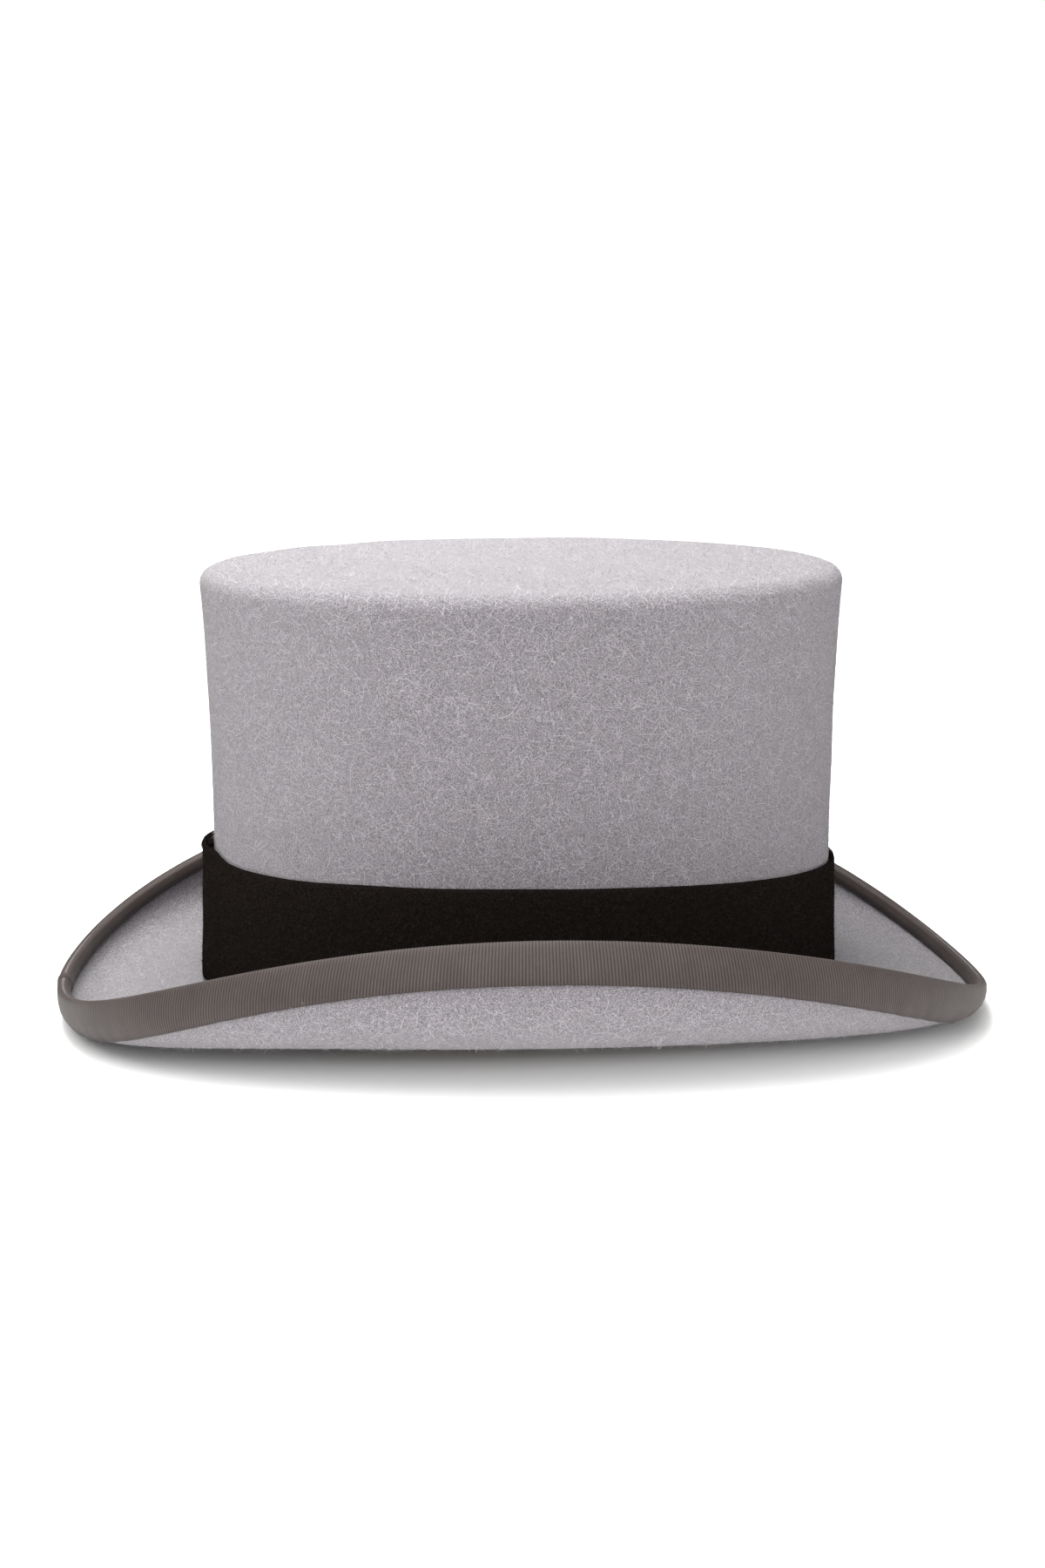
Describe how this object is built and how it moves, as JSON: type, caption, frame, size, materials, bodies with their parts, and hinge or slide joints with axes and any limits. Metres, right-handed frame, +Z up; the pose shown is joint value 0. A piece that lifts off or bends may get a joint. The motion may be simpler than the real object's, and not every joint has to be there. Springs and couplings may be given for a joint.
{
  "type": "top hat",
  "caption": "Felt top hat with a flat-topped flared crown, a lapped felt band, a ribbon-bound brim curled up at the sides, and a leather sweatband and satin lining inside.",
  "frame": {"origin": "centre of the footprint, on the surface the hat stands on, brim down", "axes": "+X towards the hat's front, +Y towards the wearer's left, +Z up through the crown"},
  "size_m": [0.3134, 0.2608, 0.1498],
  "materials": {
    "grey_felt": "pale grey wool felt, hairy and matt",
    "taupe_grosgrain": "warm dark grey ribbed ribbon with a slight sheen",
    "black_felt": "black felt, matt",
    "tan_leather": "smooth tan leather",
    "clear_plastic": "clear plastic cord",
    "cotton_tape": "plain woven cotton",
    "bow_satin": "black satin ribbon",
    "ivory_satin": "ivory satin",
    "ticket_card": "off-white card, matt",
    "label_satin": "white woven label"
  },
  "bodies": {
    "root": {"felt_body": "grey_felt", "brim_binding": "taupe_grosgrain", "hat_band": "black_felt", "sweatband": "tan_leather", "sweatband_reed": "clear_plastic", "reed_tape": "cotton_tape", "sweatband_seam_tape": "cotton_tape", "sweatband_bow_loops": "bow_satin", "sweatband_bow_knot": "bow_satin", "sweatband_bow_tails": "bow_satin", "lining_wall": "ivory_satin", "lining_tip": "ivory_satin", "size_ticket": "ticket_card", "care_label": "label_satin"}
  },
  "joints": []
}
